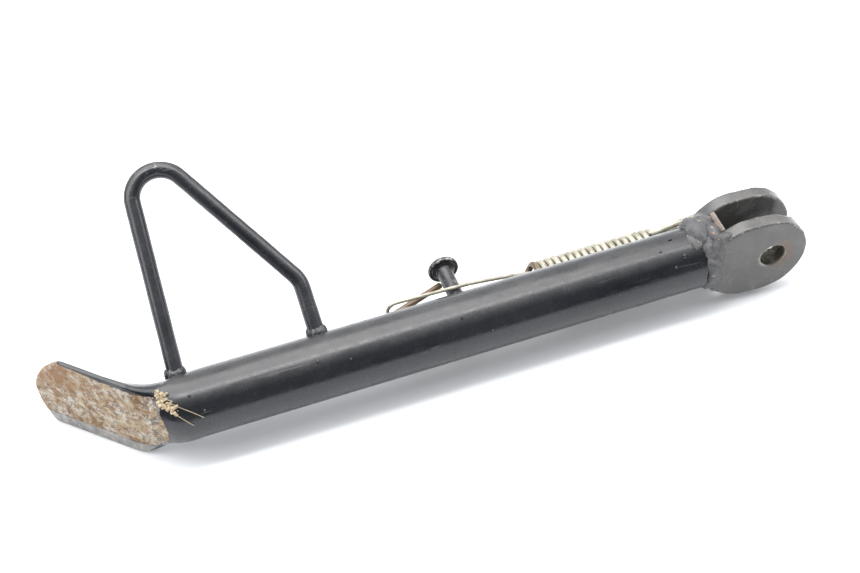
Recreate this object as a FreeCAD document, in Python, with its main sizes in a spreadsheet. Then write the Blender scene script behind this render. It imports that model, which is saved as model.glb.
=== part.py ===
import FreeCAD, Part
import math
import os
from FreeCAD import Placement, Rotation, Vector

# Motorcycle side stand, lying on its side: tube along -X, pivot bolt along Y, +Z up.
# The origin is the middle of the pivot bore. Tang, spring post and foot point to +Y.

SIZES = {
    # leg tube
    "tubeDiameter": 25.4,
    "tubeWall": 1.7,
    "tubeEnd": 29,
    "taperStart": 240,
    # pressed foot, measured from where its sole crosses the tube's axis
    "footHeel": 258,
    "footAngle": 44,
    "footWidth": 40,
    "footThickness": 3.4,
    "footDrop": 1.5,
    "footLength": 46.2,
    "footBlend": 14,
    # fork: two ears and the web that spaces them
    "forkLean": 2.6,
    "earHeight": 36.8,
    "earThickness": 5.9,
    "forkGap": 10.8,
    "noseSetback": 3.8,
    "slotDepth": 19.8,
    "boreDiameter": 10.4,
    "boreChamfer": 0.45,
    # tang: bent rod welded to the tube at both ends, its reach measured from the tube's axis
    "tangLean": 37,
    "rodDiameter": 6.5,
    "tangFootX": 239.5,
    "tangForkX": 184.1,
    "tangRoot": 11.7,
    "tangApexX": 236.1,
    "tangApexReach": 114,
    "tangCrown": 10.7,
    "tangKinkX": 184.6,
    "tangKinkReach": 34.4,
    "tangKink": 11,
    # spring post
    "postX": 126,
    "postDiameter": 6.4,
    "postReach": 32.7,
    "headDiameter": 12.6,
    "headThickness": 2.6,
    # return springs: a thick outer one and a thin one inside it
    "outerWire": 2.7,
    "outerDiameter": 12,
    "outerPitch": 3.0,
    "outerTurns": 17.22,
    "innerWire": 1.5,
    "innerDiameter": 5.8,
    "innerPitch": 2.59,
    "innerTurns": 20,
    "coilStart": 91,
    "coilY": 19.1,
    "coilDrop": 5.75,
    "outerHookBend": 8.35,
    "outerHookTip": 17.9,
    "innerHookBend": 5.1,
    "innerHookTip": 13.6,
    "outerEyeBend": 4.4,
    "innerEyeBend": 4.15,
    # weld beads
    "forkBead": 3,
    "rodBead": 1.9,
    "postBead": 1.5,
}

doc = FreeCAD.newDocument("SideStand")
sheet = doc.addObject("Spreadsheet::Sheet", "Sizes")
for row, (alias, value) in enumerate(SIZES.items(), start=1):
    sheet.set("A%d" % row, alias)
    sheet.set("B%d" % row, str(value))
    sheet.setAlias("B%d" % row, alias)
doc.recompute()


def size(alias):
    return float(getattr(sheet, alias))


def bind(thing, **expressions):
    # <alias> in an expression stands for that cell of the sheet
    for name, expression in expressions.items():
        thing.setExpression(name, expression.replace("<", "Sizes.").replace(">", ""))
    return thing


def primitive(kind, name, place=None, **expressions):
    thing = bind(doc.addObject(kind, name), **expressions)
    if place:
        thing.Placement = place
    return thing


def cut(name, base, *tools):
    # the base with each tool taken away in turn; the last cut carries the name
    for count, tool in enumerate(tools, start=1):
        step = doc.addObject("Part::Cut", name if count == len(tools) else "%s_cut%d" % (name, count))
        step.Base = base
        step.Tool = tool
        base = step
    return base


def fuse(name, *parts):
    whole = doc.addObject("Part::MultiFuse", name)
    whole.Shapes = list(parts)
    return whole


alongX = Rotation(Vector(0, 0, 1), Vector(1, 0, 0))
alongY = Rotation(Vector(0, 0, 1), Vector(0, 1, 0))
forkPlace = Placement(Vector(), Rotation(Vector(0, 0, 1), -size("forkLean")))


# ---------------------------------------------------------------- bent wires and rods

def bentPath(points, radii):
    # straight runs between the points, each inner point rounded by a tangent arc
    corners = [Vector(*point) for point in points]
    edges = []
    start = corners[0]
    for before, corner, after, radius in zip(corners, corners[1:], corners[2:], radii):
        toBefore = (before - corner).normalize()
        toAfter = (after - corner).normalize()
        half = toBefore.getAngle(toAfter) / 2
        reach = radius / math.tan(half)
        bisector = (toBefore + toAfter).normalize()
        enter = corner + toBefore * reach
        leave = corner + toAfter * reach
        middle = corner + bisector * (radius / math.sin(half) - radius)
        edges.append(Part.LineSegment(start, enter).toShape())
        edges.append(Part.Arc(enter, middle, leave).toShape())
        start = leave
    edges.append(Part.LineSegment(start, corners[-1]).toShape())
    return Part.Wire(edges)


def bentRod(name, points, radii, radiusExpression):
    # a round section carried along a bent path
    path = doc.addObject("Part::Feature", name + "_path")
    path.Shape = bentPath(points, radii)
    section = bind(doc.addObject("Part::Circle", name + "_section"), Radius=radiusExpression)
    heading = Vector(*points[1]) - Vector(*points[0])
    section.Placement = Placement(Vector(*points[0]), Rotation(Vector(0, 0, 1), heading))
    rod = doc.addObject("Part::Sweep", name)
    rod.Sections = [section]
    rod.Spine = (path, ["Edge%d" % (index + 1) for index in range(len(path.Shape.Edges))])
    rod.Solid = True
    rod.Frenet = False
    rod.Transition = "Right corner"
    return rod


# ---------------------------------------------------------------- leg tube and foot

def flatOval(centre, turn, width, thickness):
    # closed outline: two straight sides joined by half circles, standing across the leg's path
    flat = max(width - thickness, 0.2) / 2
    radius = thickness / 2
    sole = Vector(-math.sin(turn), -math.cos(turn), 0)
    up = Vector(0, 0, 1)
    corner = [centre + sole * (radius * side) + up * (flat * end)
              for side, end in ((1, -1), (1, 1), (-1, 1), (-1, -1))]
    tip = centre + up * (flat + radius)
    tail = centre - up * (flat + radius)
    edges = [Part.LineSegment(corner[0], corner[1]).toShape(),
             Part.Arc(corner[1], tip, corner[2]).toShape(),
             Part.LineSegment(corner[2], corner[3]).toShape(),
             Part.Arc(corner[3], tail, corner[0]).toShape()]
    return Part.Wire(edges)


def makeLegTube(*forkParts):
    turn = math.radians(size("footAngle"))
    along = Vector(-math.cos(turn), math.sin(turn), 0)
    back = Vector(math.sin(turn), math.cos(turn), 0)
    heel = Vector(-size("footHeel"), 0, 0)
    tube = size("tubeDiameter")
    flat = size("footThickness")
    wide = size("footWidth")
    blend = size("footBlend")
    drop = size("footDrop")
    # middle, turn, width and thickness of each section from the round tube to the flat foot
    sections = [
        (Vector(-size("taperStart"), 0, 0), 0, tube, tube),
        (heel + Vector(9.5, 0.3, -0.2 * drop), 0.18 * turn, tube * 1.09, tube * 0.9),
        (heel + Vector(1.6, 3.0, -0.7 * drop), 0.6 * turn, tube * 1.3, tube * 0.56),
        (heel + along * blend + back * (flat / 2) - Vector(0, 0, drop), turn, wide, flat),
    ]
    wires = []
    for index, section in enumerate(sections):
        wire = doc.addObject("Part::Feature", "foot_section%d" % index)
        wire.Shape = flatOval(*section)
        wires.append(wire)
    bend = doc.addObject("Part::Loft", "foot_bend")
    bend.Sections = wires
    bend.Solid = True
    bend.Ruled = False
    paddle = doc.addObject("Part::Extrusion", "foot_paddle")
    paddle.Base = wires[-1]
    paddle.DirMode = "Custom"
    paddle.Dir = along
    bind(paddle, LengthFwd="<footLength> - <footBlend> + 3")
    paddle.Solid = True
    pressed = fuse("foot_blank", bend, paddle)

    # rounded toe: arc, then a straight edge that slants back to a small corner
    reach = size("footLength")
    half = wide / 2
    clear = 4
    behind = -45
    flatOutline = [(behind, half + clear), (reach - half, half + clear), (reach - half, half)]
    slant = [(reach - 0.4, -0.5 * half), (reach - 2.8, -0.88 * half), (reach - 5.6, -half),
             (reach - 5.6, -half - clear), (behind, -half - clear)]
    place = lambda s, z: heel + along * s + Vector(0, 0, z - drop) - back * 40
    corners = [place(*point) for point in flatOutline]
    edges = [Part.LineSegment(a, b).toShape() for a, b in zip(corners, corners[1:])]
    bow = half * math.sin(math.pi / 4)
    edges.append(Part.Arc(corners[-1], place(reach - half + bow, bow), place(reach, 0)).toShape())
    rest = [place(reach, 0)] + [place(*point) for point in slant] + [corners[0]]
    edges += [Part.LineSegment(a, b).toShape() for a, b in zip(rest, rest[1:])]
    outline = doc.addObject("Part::Feature", "toe_outline")
    outline.Shape = Part.Face(Part.Wire(edges)).extrude(back * 90)
    foot = doc.addObject("Part::Common", "foot_pressed")
    foot.Base = pressed
    foot.Tool = outline

    straight = primitive("Part::Cylinder", "tube_outside", Placement(Vector(-size("taperStart"), 0, 0), alongX),
                         Radius="<tubeDiameter> / 2", Height="<taperStart> - <tubeEnd>")
    inside = primitive("Part::Cylinder", "tube_inside", Placement(Vector(-size("taperStart") + 4, 0, 0), alongX),
                       Radius="<tubeDiameter> / 2 - <tubeWall>", Height="<taperStart> - <tubeEnd> + 10")
    # the tube's open end is trimmed to the back of the fork
    return cut("leg_tube", fuse("tube_and_foot", straight, foot), inside, *forkParts)


# ---------------------------------------------------------------- fork

def originPlane(body, role):
    return next(part for part in body.Origin.OriginFeatures if part.Role == role)


def makePlate(name, thickness, offset):
    # plate across the fork: a half circle round the bolt and one at the tube's end
    body = doc.addObject("PartDesign::Body", name)
    outline = body.newObject("Sketcher::SketchObject", name + "_outline")
    outline.AttachmentSupport = [(originPlane(body, "XZ_Plane"), "")]
    outline.MapMode = "FlatFace"
    half = size("earHeight") / 2
    nose = -size("noseSetback")
    rear = half - size("tubeEnd")
    line = lambda x1, z1, x2, z2: Part.LineSegment(Vector(x1, z1, 0), Vector(x2, z2, 0))
    arc = lambda x, a, b: Part.ArcOfCircle(Part.Circle(Vector(x, 0, 0), Vector(0, 0, 1), half), a, b)
    quarter = math.pi / 2
    outline.addGeometry([
        arc(nose, -quarter, quarter),
        line(nose, half, rear, half),
        arc(rear, quarter, 3 * quarter),
        line(rear, -half, nose, -half),
    ], False)
    plate = body.newObject("PartDesign::Pad", name + "_plate")
    plate.Profile = outline
    bind(plate, Length=thickness)
    body.Tip = plate
    doc.recompute()
    # the pad grows from the XZ plane towards -Y, so the body is shifted to its place across the fork
    body.Placement = forkPlace.multiply(Placement(Vector(0, offset, 0), Rotation()))
    return body


def makeEar(name, side):
    outer = size("forkGap") / 2 + size("earThickness")
    return makePlate(name, "<earThickness>", outer if side > 0 else -size("forkGap") / 2)


def makeBoreCutter():
    # the bolt hole with a chamfer at each outer face, one tool for both ears
    reach = size("forkGap") / 2 + size("earThickness")
    chamfer = size("boreChamfer")
    hole = primitive("Part::Cylinder", "bolt_hole",
                     forkPlace.multiply(Placement(Vector(0, -reach - 5, 0), alongY)),
                     Radius="<boreDiameter> / 2", Height="<forkGap> + 2 * <earThickness> + 10")
    cones = []
    for side in (-1, 1):
        turn = alongY if side > 0 else Rotation(Vector(0, 0, 1), Vector(0, -1, 0))
        cone = primitive("Part::Cone", "hole_chamfer%d" % (side + 1),
                         forkPlace.multiply(Placement(Vector(0, side * (reach - chamfer), 0), turn)),
                         Radius1="<boreDiameter> / 2", Radius2="<boreDiameter> / 2 + 2 * <boreChamfer>",
                         Height="2 * <boreChamfer>")
        cones.append(cone)
    return fuse("bore_cutter", hole, *cones)


def makeWeb():
    # the spacer between the ears at the bottom of the slot
    plate = makePlate("web_plate", "<forkGap>", size("forkGap") / 2)
    block = primitive("Part::Box", "web_block", None, Length="<tubeEnd> - <slotDepth>",
                      Width="<forkGap>", Height="<earHeight>")
    corner = Vector(-size("tubeEnd"), -size("forkGap") / 2, -size("earHeight") / 2)
    block.Placement = forkPlace.multiply(Placement(corner, Rotation()))
    web = doc.addObject("Part::Common", "fork_web")
    web.Base = plate
    web.Tool = block
    return web


# ---------------------------------------------------------------- tang, post, spring

tangLean = math.radians(size("tangLean"))
tangOut = Vector(0, math.cos(tangLean), math.sin(tangLean))


def tangPoint(distance, reach):
    return Vector(-distance, 0, 0) + tangOut * reach


def makeTang():
    # both ends start inside the tube's wall, which trims them
    root = size("tangRoot")
    points = [tangPoint(size("tangFootX"), root), tangPoint(size("tangApexX"), size("tangApexReach")),
              tangPoint(size("tangKinkX"), size("tangKinkReach")), tangPoint(size("tangForkX"), root)]
    return bentRod("tang_rod", points, [size("tangCrown"), size("tangKink")], "<rodDiameter> / 2")


def makePost():
    # turned pin: round shank with a flat head, its edge rounded
    body = doc.addObject("PartDesign::Body", "post_turned")
    profile = body.newObject("Sketcher::SketchObject", "post_profile")
    profile.AttachmentSupport = [(originPlane(body, "XY_Plane"), "")]
    profile.MapMode = "FlatFace"
    shank = size("postDiameter") / 2
    head = size("headDiameter") / 2
    top = size("postReach")
    under = top - size("headThickness")
    rim = 0.7
    corners = [(0, 6), (shank, 6), (shank, under), (head, under), (head, top - rim), (head - rim, top), (0, top)]
    corners.append(corners[0])
    profile.addGeometry([Part.LineSegment(Vector(a[0], a[1], 0), Vector(b[0], b[1], 0))
                         for a, b in zip(corners, corners[1:])], False)
    turned = body.newObject("PartDesign::Revolution", "post_turning")
    turned.Profile = profile
    turned.ReferenceAxis = (profile, ["V_Axis"])
    turned.Angle = 360
    body.Tip = turned
    body.Placement = Placement(Vector(-size("postX"), 0, 0), Rotation())
    return body


def makeCoil(name, kind, startAngle):
    # close coil of round wire about an axis along X, right-handed, started at an angle from +Y
    body = doc.addObject("PartDesign::Body", name)
    section = body.newObject("Sketcher::SketchObject", name + "_section")
    section.AttachmentSupport = [(originPlane(body, "XZ_Plane"), "")]
    section.MapMode = "FlatFace"
    wire = size(kind + "Wire")
    mean = (size(kind + "Diameter") - wire) / 2
    section.addGeometry(Part.Circle(Vector(0, mean, 0), Vector(0, 0, 1), wire / 2), False)
    helix = body.newObject("PartDesign::AdditiveHelix", name + "_helix")
    helix.Profile = section
    helix.ReferenceAxis = (section, ["H_Axis"])
    helix.Mode = "pitch-turns-angle"
    bind(helix, Pitch="<%sPitch>" % kind, Turns="<%sTurns>" % kind)
    body.Tip = helix
    body.Placement = Placement(Vector(-size("coilStart"), size("coilY"), -size("coilDrop")),
                               Rotation(Vector(1, 0, 0), startAngle - 90))
    return body


coilLead = 1.6  # how far past the coil's last turn each straight end begins


def makeOuterEye():
    # leaves the coil at its far side, passes under the post and doubles back behind it
    start = -size("coilStart") - coilLead
    post = -size("postX")
    points = [(start, 23.7, -4.9), (start - 8.4, 23.0, -5.6), (post + 8, 15.2, -13.6),
              (post - 28, 15.2, -13.6), (post - 27.5, 18.6, -4.9), (post - 2.9, 27.6, -4.9)]
    bend = size("outerEyeBend")
    return bentRod("outer_spring_eye", points, [9, 9, bend, bend], "<outerWire> / 2")


def makeInnerEye():
    # rises over the post, bends back round it and returns underneath
    lift = size("innerEyeBend")
    start = -size("coilStart") - coilLead
    post = -size("postX")
    points = [(start, size("coilY"), -3.6), (start - 5.4, 18.9, -1.9), (post + 6, 16.1, lift),
              (post - 28, 17.2, lift), (post - 28, 17.9, -lift), (post - 2.5, 16.4, -lift)]
    return bentRod("inner_spring_eye", points, [8, 20, lift * 0.97, lift * 0.97], "<innerWire> / 2")


def makeOuterHook():
    # long end of the wire: passes outside the far ear and bends over beyond its nose
    bend = size("outerHookBend")
    tip = size("outerHookTip")
    centre = -size("coilDrop")
    start = -size("coilStart") + size("outerPitch") * size("outerTurns") + coilLead
    top = centre + (size("outerDiameter") - size("outerWire")) / 2
    points = [(start, size("coilY"), top), (start + 5.5, 18.8, top + 1.7), (start + 18, 18.2, centre + bend),
              (tip, 14.4, centre + bend), (tip, 14.4, centre - bend), (tip - 14, 15.4, centre - bend)]
    return bentRod("outer_spring_hook", points, [7, 12, bend * 0.97, bend * 0.97], "<outerWire> / 2")


def makeInnerHook():
    # the thin wire's hook lies inside the thick one's
    bend = size("innerHookBend")
    tip = size("innerHookTip")
    centre = -size("coilDrop")
    start = -size("coilStart") + size("innerPitch") * size("innerTurns") + coilLead
    points = [(start, size("coilY"), -3.6), (start + 7, 18.8, -2.2), (start + 18, 17.2, centre + bend),
              (tip, 14.4, centre + bend), (tip, 14.4, centre - bend), (tip - 10, 14.9, centre - bend)]
    return bentRod("inner_spring_hook", points, [8, 12, bend * 0.97, bend * 0.97], "<innerWire> / 2")


# ---------------------------------------------------------------- welds

def makeBead(name, radiusExpression, beadExpression, place, *tools):
    ring = primitive("Part::Torus", name + "_ring", place, Radius1=radiusExpression, Radius2=beadExpression)
    return cut(name, ring, *tools)


def makeFillet(name, distance, *tools):
    # collar of weld that slopes from the tube's surface up to the rod
    sunk = 1.3
    place = Placement(tangPoint(distance, size("tubeDiameter") / 2 - sunk), Rotation(Vector(0, 0, 1), tangOut))
    cone = primitive("Part::Cone", name + "_cone", place, Radius1="<rodDiameter> / 2 + <rodBead> * 1.3",
                     Radius2="<rodDiameter> / 2 + 0.3", Height="<rodBead> + 1.3")
    return cut(name, cone, *tools)


def makeSpatter():
    # drops of weld metal on the tube: distance from the pivot, angle round the tube, radius
    drops = [(38.5, 55, 1.5), (43, 40, 0.9), (41, 95, 1.1), (47, 75, 0.7), (120.5, 25, 0.8),
             (131, 62, 0.9), (176, 48, 0.8), (188, 60, 1.0), (233, 35, 0.9), (237, 66, 0.8)]
    radius = size("tubeDiameter") / 2
    solids = []
    for distance, angle, drop in drops:
        turn = math.radians(angle)
        centre = Vector(-distance, -radius * math.cos(turn), radius * math.sin(turn))
        solids.append(Part.makeSphere(drop, centre))
    core = Part.makeCylinder(radius, 260, Vector(-260, 0, 0), Vector(1, 0, 0))
    spatter = doc.addObject("Part::Feature", "weld_spatter")
    spatter.Shape = Part.makeCompound([solid.cut(core) for solid in solids])
    return spatter


# ---------------------------------------------------------------- assembly

boreCutter = makeBoreCutter()
earBlanks = [makeEar("near_blank", -1), makeEar("far_blank", 1)]
nearEar = cut("near_ear", earBlanks[0], boreCutter)
farEar = cut("far_ear", earBlanks[1], boreCutter)
forkWeb = makeWeb()
doc.recompute()
legTube = makeLegTube(*earBlanks, forkWeb)

core = primitive("Part::Cylinder", "tube_core", Placement(Vector(-250, 0, 0), alongX),
                 Radius="<tubeDiameter> / 2", Height="250 - <tubeEnd>")
tang = cut("tang_loop", makeTang(), legTube)
post = cut("spring_post", makePost(), core)
outerCoil = makeCoil("outer_spring_coil", "outer", 10)
innerCoil = makeCoil("inner_spring_coil", "inner", 90)

surface = size("tubeDiameter") / 2
forkEnd = Vector(2.3 - size("tubeEnd"), 0.5, 0)
forkWeld = makeBead("fork_weld", "<tubeDiameter> / 2 - 1.1", "<forkBead>", Placement(forkEnd, alongX),
                    core, earBlanks[0], earBlanks[1], forkWeb)
footWeld = makeFillet("tang_weld_foot_end", size("tangFootX"), legTube, tang)
midWeld = makeFillet("tang_weld_fork_end", size("tangForkX"), legTube, tang)
postWeld = makeBead("post_weld", "<postDiameter> / 2", "<postBead>",
                    Placement(Vector(-size("postX"), surface, 0), alongY), core, post)
lump = primitive("Part::Ellipsoid", "lump_blank", Placement(Vector(-29.5, 1.6, 13.6), Rotation()),
                 Radius1="1.2 * <forkBead>", Radius2="1.6 * <forkBead>", Radius3="1.9 * <forkBead>")
topWeld = cut("fork_weld_top", lump, core, forkWeb, earBlanks[0], earBlanks[1], forkWeld)
spatter = makeSpatter()

pieces = {
    "leg_tube": legTube,
    "near_ear": nearEar,
    "far_ear": farEar,
    "fork_web": forkWeb,
    "fork_weld": forkWeld,
    "fork_weld_top": topWeld,
    "tang_loop": tang,
    "tang_weld_foot_end": footWeld,
    "tang_weld_fork_end": midWeld,
    "spring_post": post,
    "post_weld": postWeld,
    "weld_spatter": spatter,
    "outer_spring_coil": outerCoil,
    "outer_spring_eye": makeOuterEye(),
    "outer_spring_hook": makeOuterHook(),
    "inner_spring_coil": innerCoil,
    "inner_spring_eye": makeInnerEye(),
    "inner_spring_hook": makeInnerHook(),
}
for label, thing in pieces.items():
    thing.Label = label

doc.recompute()
for thing in doc.Objects:
    if "Invalid" in thing.State or "Error" in thing.State:
        raise RuntimeError("%s did not compute: %s" % (thing.Name, thing.State))
os.makedirs("parts", exist_ok=True)
for label, thing in pieces.items():
    shape = thing.Shape
    if shape.isNull() or not shape.isValid():
        raise RuntimeError("%s has no valid shape" % label)
    print("%-20s solids %d volume %9.1f mm3" % (label, len(shape.Solids), shape.Volume))
    shape.exportStep("parts/%s.step" % label)
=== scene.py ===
import math
import bpy
import numpy as np
from mathutils import Matrix, Vector


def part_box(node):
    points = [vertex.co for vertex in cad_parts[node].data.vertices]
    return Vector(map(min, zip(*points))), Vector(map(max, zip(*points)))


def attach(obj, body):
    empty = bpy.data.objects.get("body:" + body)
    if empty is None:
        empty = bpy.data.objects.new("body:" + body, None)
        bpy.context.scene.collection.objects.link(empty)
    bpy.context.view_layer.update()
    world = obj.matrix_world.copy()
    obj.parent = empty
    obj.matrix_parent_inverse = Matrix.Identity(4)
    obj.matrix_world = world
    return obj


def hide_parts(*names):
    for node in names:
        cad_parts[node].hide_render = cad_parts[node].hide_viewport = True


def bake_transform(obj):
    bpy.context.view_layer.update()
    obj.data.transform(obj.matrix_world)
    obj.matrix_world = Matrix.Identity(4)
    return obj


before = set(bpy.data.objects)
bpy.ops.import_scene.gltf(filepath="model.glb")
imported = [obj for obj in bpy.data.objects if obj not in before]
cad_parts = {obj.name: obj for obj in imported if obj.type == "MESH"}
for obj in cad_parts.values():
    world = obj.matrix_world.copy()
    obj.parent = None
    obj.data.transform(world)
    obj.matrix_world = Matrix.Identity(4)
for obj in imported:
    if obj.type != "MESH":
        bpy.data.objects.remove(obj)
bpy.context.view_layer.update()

mm = 0.001
print("frame loaded")

# places taken from the frame
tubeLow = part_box("leg_tube")[0]
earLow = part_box("near_ear")[0]
tubeRadius = 12.7 * mm
tubeEnd = earLow[0]
restZ = min(tubeLow[2], earLow[2])  # what the stand lies on


# ---- camera and light

camera = {
    "place": (-0.2374, -0.3450, 0.4082),
    "aim": (-0.1340, 0.0242, 0.0),
    "roll": -4.6,  # degrees, clockwise is positive
    "lens": 58.6,
    "nearest": 10 * mm,
}


def makeCamera():
    data = bpy.data.cameras.new("camera")
    data.lens = camera["lens"]
    data.clip_start = camera["nearest"]
    thing = bpy.data.objects.new("camera", data)
    bpy.context.scene.collection.objects.link(thing)
    look = Vector(camera["aim"]) - Vector(camera["place"])
    roll = Matrix.Rotation(math.radians(camera["roll"]), 3, "Z").to_quaternion()
    turn = look.to_track_quat("-Z", "Y") @ roll
    thing.matrix_world = Matrix.LocRotScale(Vector(camera["place"]), turn, None)
    bpy.context.scene.camera = thing


light = {
    "sky": (0.93, 0.96, 1.0, 1),
    "bright": 1.05,  # strength above and behind the stand
    "room": 0.10,  # strength on the camera's side
    "fade": (-0.62, -0.12),  # the directions' Y from which it is dark and bright
    # name: where it stands, its size in metres, its power in watts
    "lamps": {
        "overhead": ((-0.2, 0.45, 1.2), 1.3, 17),
        "left": ((-1.2, 0.1, 0.8), 0.9, 7),
        "right": ((0.9, 0.1, 0.9), 0.9, 6),
    },
    "aim": (-0.14, 0.02, 0.0),
    "strip": ((-0.13, 0.02, 1.0), (1.5, 0.09), 4.5),
    "fill": ((-0.2, -1.1, 0.8), 1.2, 7),
}


def makeLamp(name, place, sizes, power, mirrored=True):
    # a round lamp of one size, or a strip of two, aimed at the stand
    data = bpy.data.lights.new(name, "AREA")
    data.shape = "DISK" if len(sizes) == 1 else "RECTANGLE"
    data.size = sizes[0]
    data.size_y = sizes[-1]
    data.energy = power
    lamp = bpy.data.objects.new(name, data)
    bpy.context.scene.collection.objects.link(lamp)
    lamp.visible_glossy = mirrored
    look = Vector(light["aim"]) - Vector(place)
    if len(sizes) == 2:
        look = Vector((0, 0, -1))
    lamp.matrix_world = Matrix.LocRotScale(Vector(place), look.to_track_quat("-Z", "Y"), None)


def makeLight():
    world = bpy.data.worlds.new("studio")
    world.use_nodes = True
    # bright above and behind the stand, a darker room on the camera's side
    nodes, links = world.node_tree.nodes, world.node_tree.links
    split = nodes.new("ShaderNodeSeparateXYZ")
    links.new(nodes.new("ShaderNodeTexCoord").outputs["Generated"], split.inputs[0])
    side = nodes.new("ShaderNodeMapRange")
    side.interpolation_type = "SMOOTHSTEP"
    values = (*light["fade"], light["room"], light["bright"])
    for socket, value in zip(("From Min", "From Max", "To Min", "To Max"), values):
        side.inputs[socket].default_value = value
    links.new(split.outputs["Y"], side.inputs["Value"])
    background = nodes["Background"]
    background.inputs["Color"].default_value = light["sky"]
    links.new(side.outputs["Result"], background.inputs["Strength"])
    bpy.context.scene.world = world
    for name, (place, width, power) in light["lamps"].items():
        makeLamp(name, place, (width,), power)
    place, sizes, power = light["strip"]
    makeLamp("strip", place, sizes, power)
    place, width, power = light["fill"]
    makeLamp("fill", place, (width,), power, mirrored=False)
    bpy.context.scene.view_settings.view_transform = "Standard"
    bpy.context.scene.view_settings.look = "None"


makeCamera()
makeLight()
print("camera and light made")


# ---- shapes as arrays

def smooth(value, low, high):
    # 0 below low, 1 above high, with level ends
    part = np.clip((value - low) / (high - low), 0, 1)
    return part * part * (3 - 2 * part)


def lumps(points, grain, seed, count=14):
    # a sum of sine waves in seeded directions, about -1 to 1, with bumps of about the grain's size;
    # the points may be a list or a grid
    random = np.random.default_rng(seed)
    waves = random.normal(size=(count, 3))
    waves *= (random.uniform(0.6, 1.5, count) / np.linalg.norm(waves, axis=1))[:, None]
    phases = random.uniform(0, 2 * math.pi, count)
    total = np.sin(points @ waves.T * (2 * math.pi / grain) + phases).sum(-1)
    return total / math.sqrt(count) / 1.2


def unit(vectors):
    return vectors / np.linalg.norm(vectors, axis=-1, keepdims=True)


def volumeOf(points, faces):
    # sum of the signed volumes of the corner triangles with the origin
    a, b, c, d = (points[faces[:, corner]] for corner in range(4))
    return (a * (np.cross(b, c) + np.cross(c, d))).sum() / 6


def gridFaces(rows, columns, closeRows, closeColumns, start=0):
    # quads between neighbouring rows and columns of a grid, wrapping where it closes
    row = np.arange(rows if closeRows else rows - 1)
    column = np.arange(columns if closeColumns else columns - 1)
    a, b = np.meshgrid(row, column, indexing="ij")
    nextRow = (a + 1) % rows
    nextColumn = (b + 1) % columns
    corners = [a * columns + b, nextRow * columns + b,
               nextRow * columns + nextColumn, a * columns + nextColumn]
    return np.stack(corners, -1).reshape(-1, 4) + start


def makePiece(name, grids, body, material, replaced=(), masks=None,
              closeRows=False, zipEnd=False):
    # grids of points, each closed across its columns; an open end is gathered to a middle point,
    # or zipped from its front half to its back half where it is a thin edge; a mask holds one value
    # for each point, with 0 for any left over
    points = []
    quads = []
    triangles = []
    count = 0
    for grid in grids:
        rows, columns = grid.shape[:2]
        quads.append(gridFaces(rows, columns, closeRows, True, count))
        points.append(grid.reshape(-1, 3))
        first = count
        count += rows * columns
        if not closeRows:
            ends = np.array([grid[0].mean(0), grid[-1].mean(0)])
            points.append(ends)
            ring = np.arange(columns)
            last = first + (rows - 1) * columns
            following = (ring + 1) % columns
            triangles.append(np.stack([np.full(columns, count), first + ring, first + following], -1))
            if zipEnd:
                front = np.arange(-columns // 4, columns // 4)
                behind = columns // 2 - front
                strip = [(front + 1) % columns, front % columns, behind % columns, (behind - 1) % columns]
                quads.append(np.stack(strip, -1)[1:-1] + last)
                for corner in (0, -1):
                    four = [int(line[corner]) for line in strip]
                    triangles.append(np.array([list(dict.fromkeys(four))]) + last)
            else:
                triangles.append(np.stack([np.full(columns, count + 1), last + following, last + ring], -1))
            count += 2
    points = np.concatenate(points)
    quads = np.concatenate(quads)
    if volumeOf(points, quads) < 0:
        quads = quads[:, ::-1]
        triangles = [part[:, ::-1] for part in triangles]
    faces = quads.tolist() + [face for part in triangles for face in part.tolist()]
    mesh = bpy.data.meshes.new(name)
    mesh.from_pydata(points.tolist(), [], faces)
    mesh.update()
    mesh.polygons.foreach_set("use_smooth", np.ones(len(faces), bool))
    for maskName, values in (masks or {}).items():
        layer = mesh.attributes.new(maskName, "FLOAT", "POINT")
        full = np.zeros(len(points))
        full[:values.size] = values.ravel()
        layer.data.foreach_set("value", full.astype(np.float32))
    thing = bpy.data.objects.new(name, mesh)
    bpy.context.scene.collection.objects.link(thing)
    mesh.materials.append(material)
    if body:
        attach(thing, body)
    if replaced:
        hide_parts(*replaced)
    return thing


def roundedPath(corners, radii, step=0.4 * mm):
    # straight runs joined by arcs tangent to both, sampled about a step apart
    corners = [np.array(corner, float) for corner in corners]
    parts = []
    start = corners[0]
    for before, corner, after, radius in zip(corners, corners[1:], corners[2:], radii):
        back = unit(before - corner)
        ahead = unit(after - corner)
        half = math.acos(np.clip(back @ ahead, -1, 1)) / 2
        reach = radius / math.tan(half)
        enter = corner + back * reach
        centre = corner + unit(back + ahead) * radius / math.sin(half)
        across = unit(enter - centre)
        sweep = math.pi - 2 * half
        count = max(2, int(np.linalg.norm(enter - start) / step))
        along = np.linspace(0, 1, count, endpoint=False)[:, None]
        parts.append(start + (enter - start) * along)
        count = max(6, int(radius * sweep / step))
        angle = np.linspace(0, sweep, count, endpoint=False)[:, None]
        parts.append(centre + radius * (across * np.cos(angle) - back * np.sin(angle)))
        start = corner + ahead * reach
    along = np.linspace(0, 1, max(2, int(np.linalg.norm(corners[-1] - start) / step)))[:, None]
    parts.append(start + (corners[-1] - start) * along)
    return np.concatenate(parts)


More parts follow.
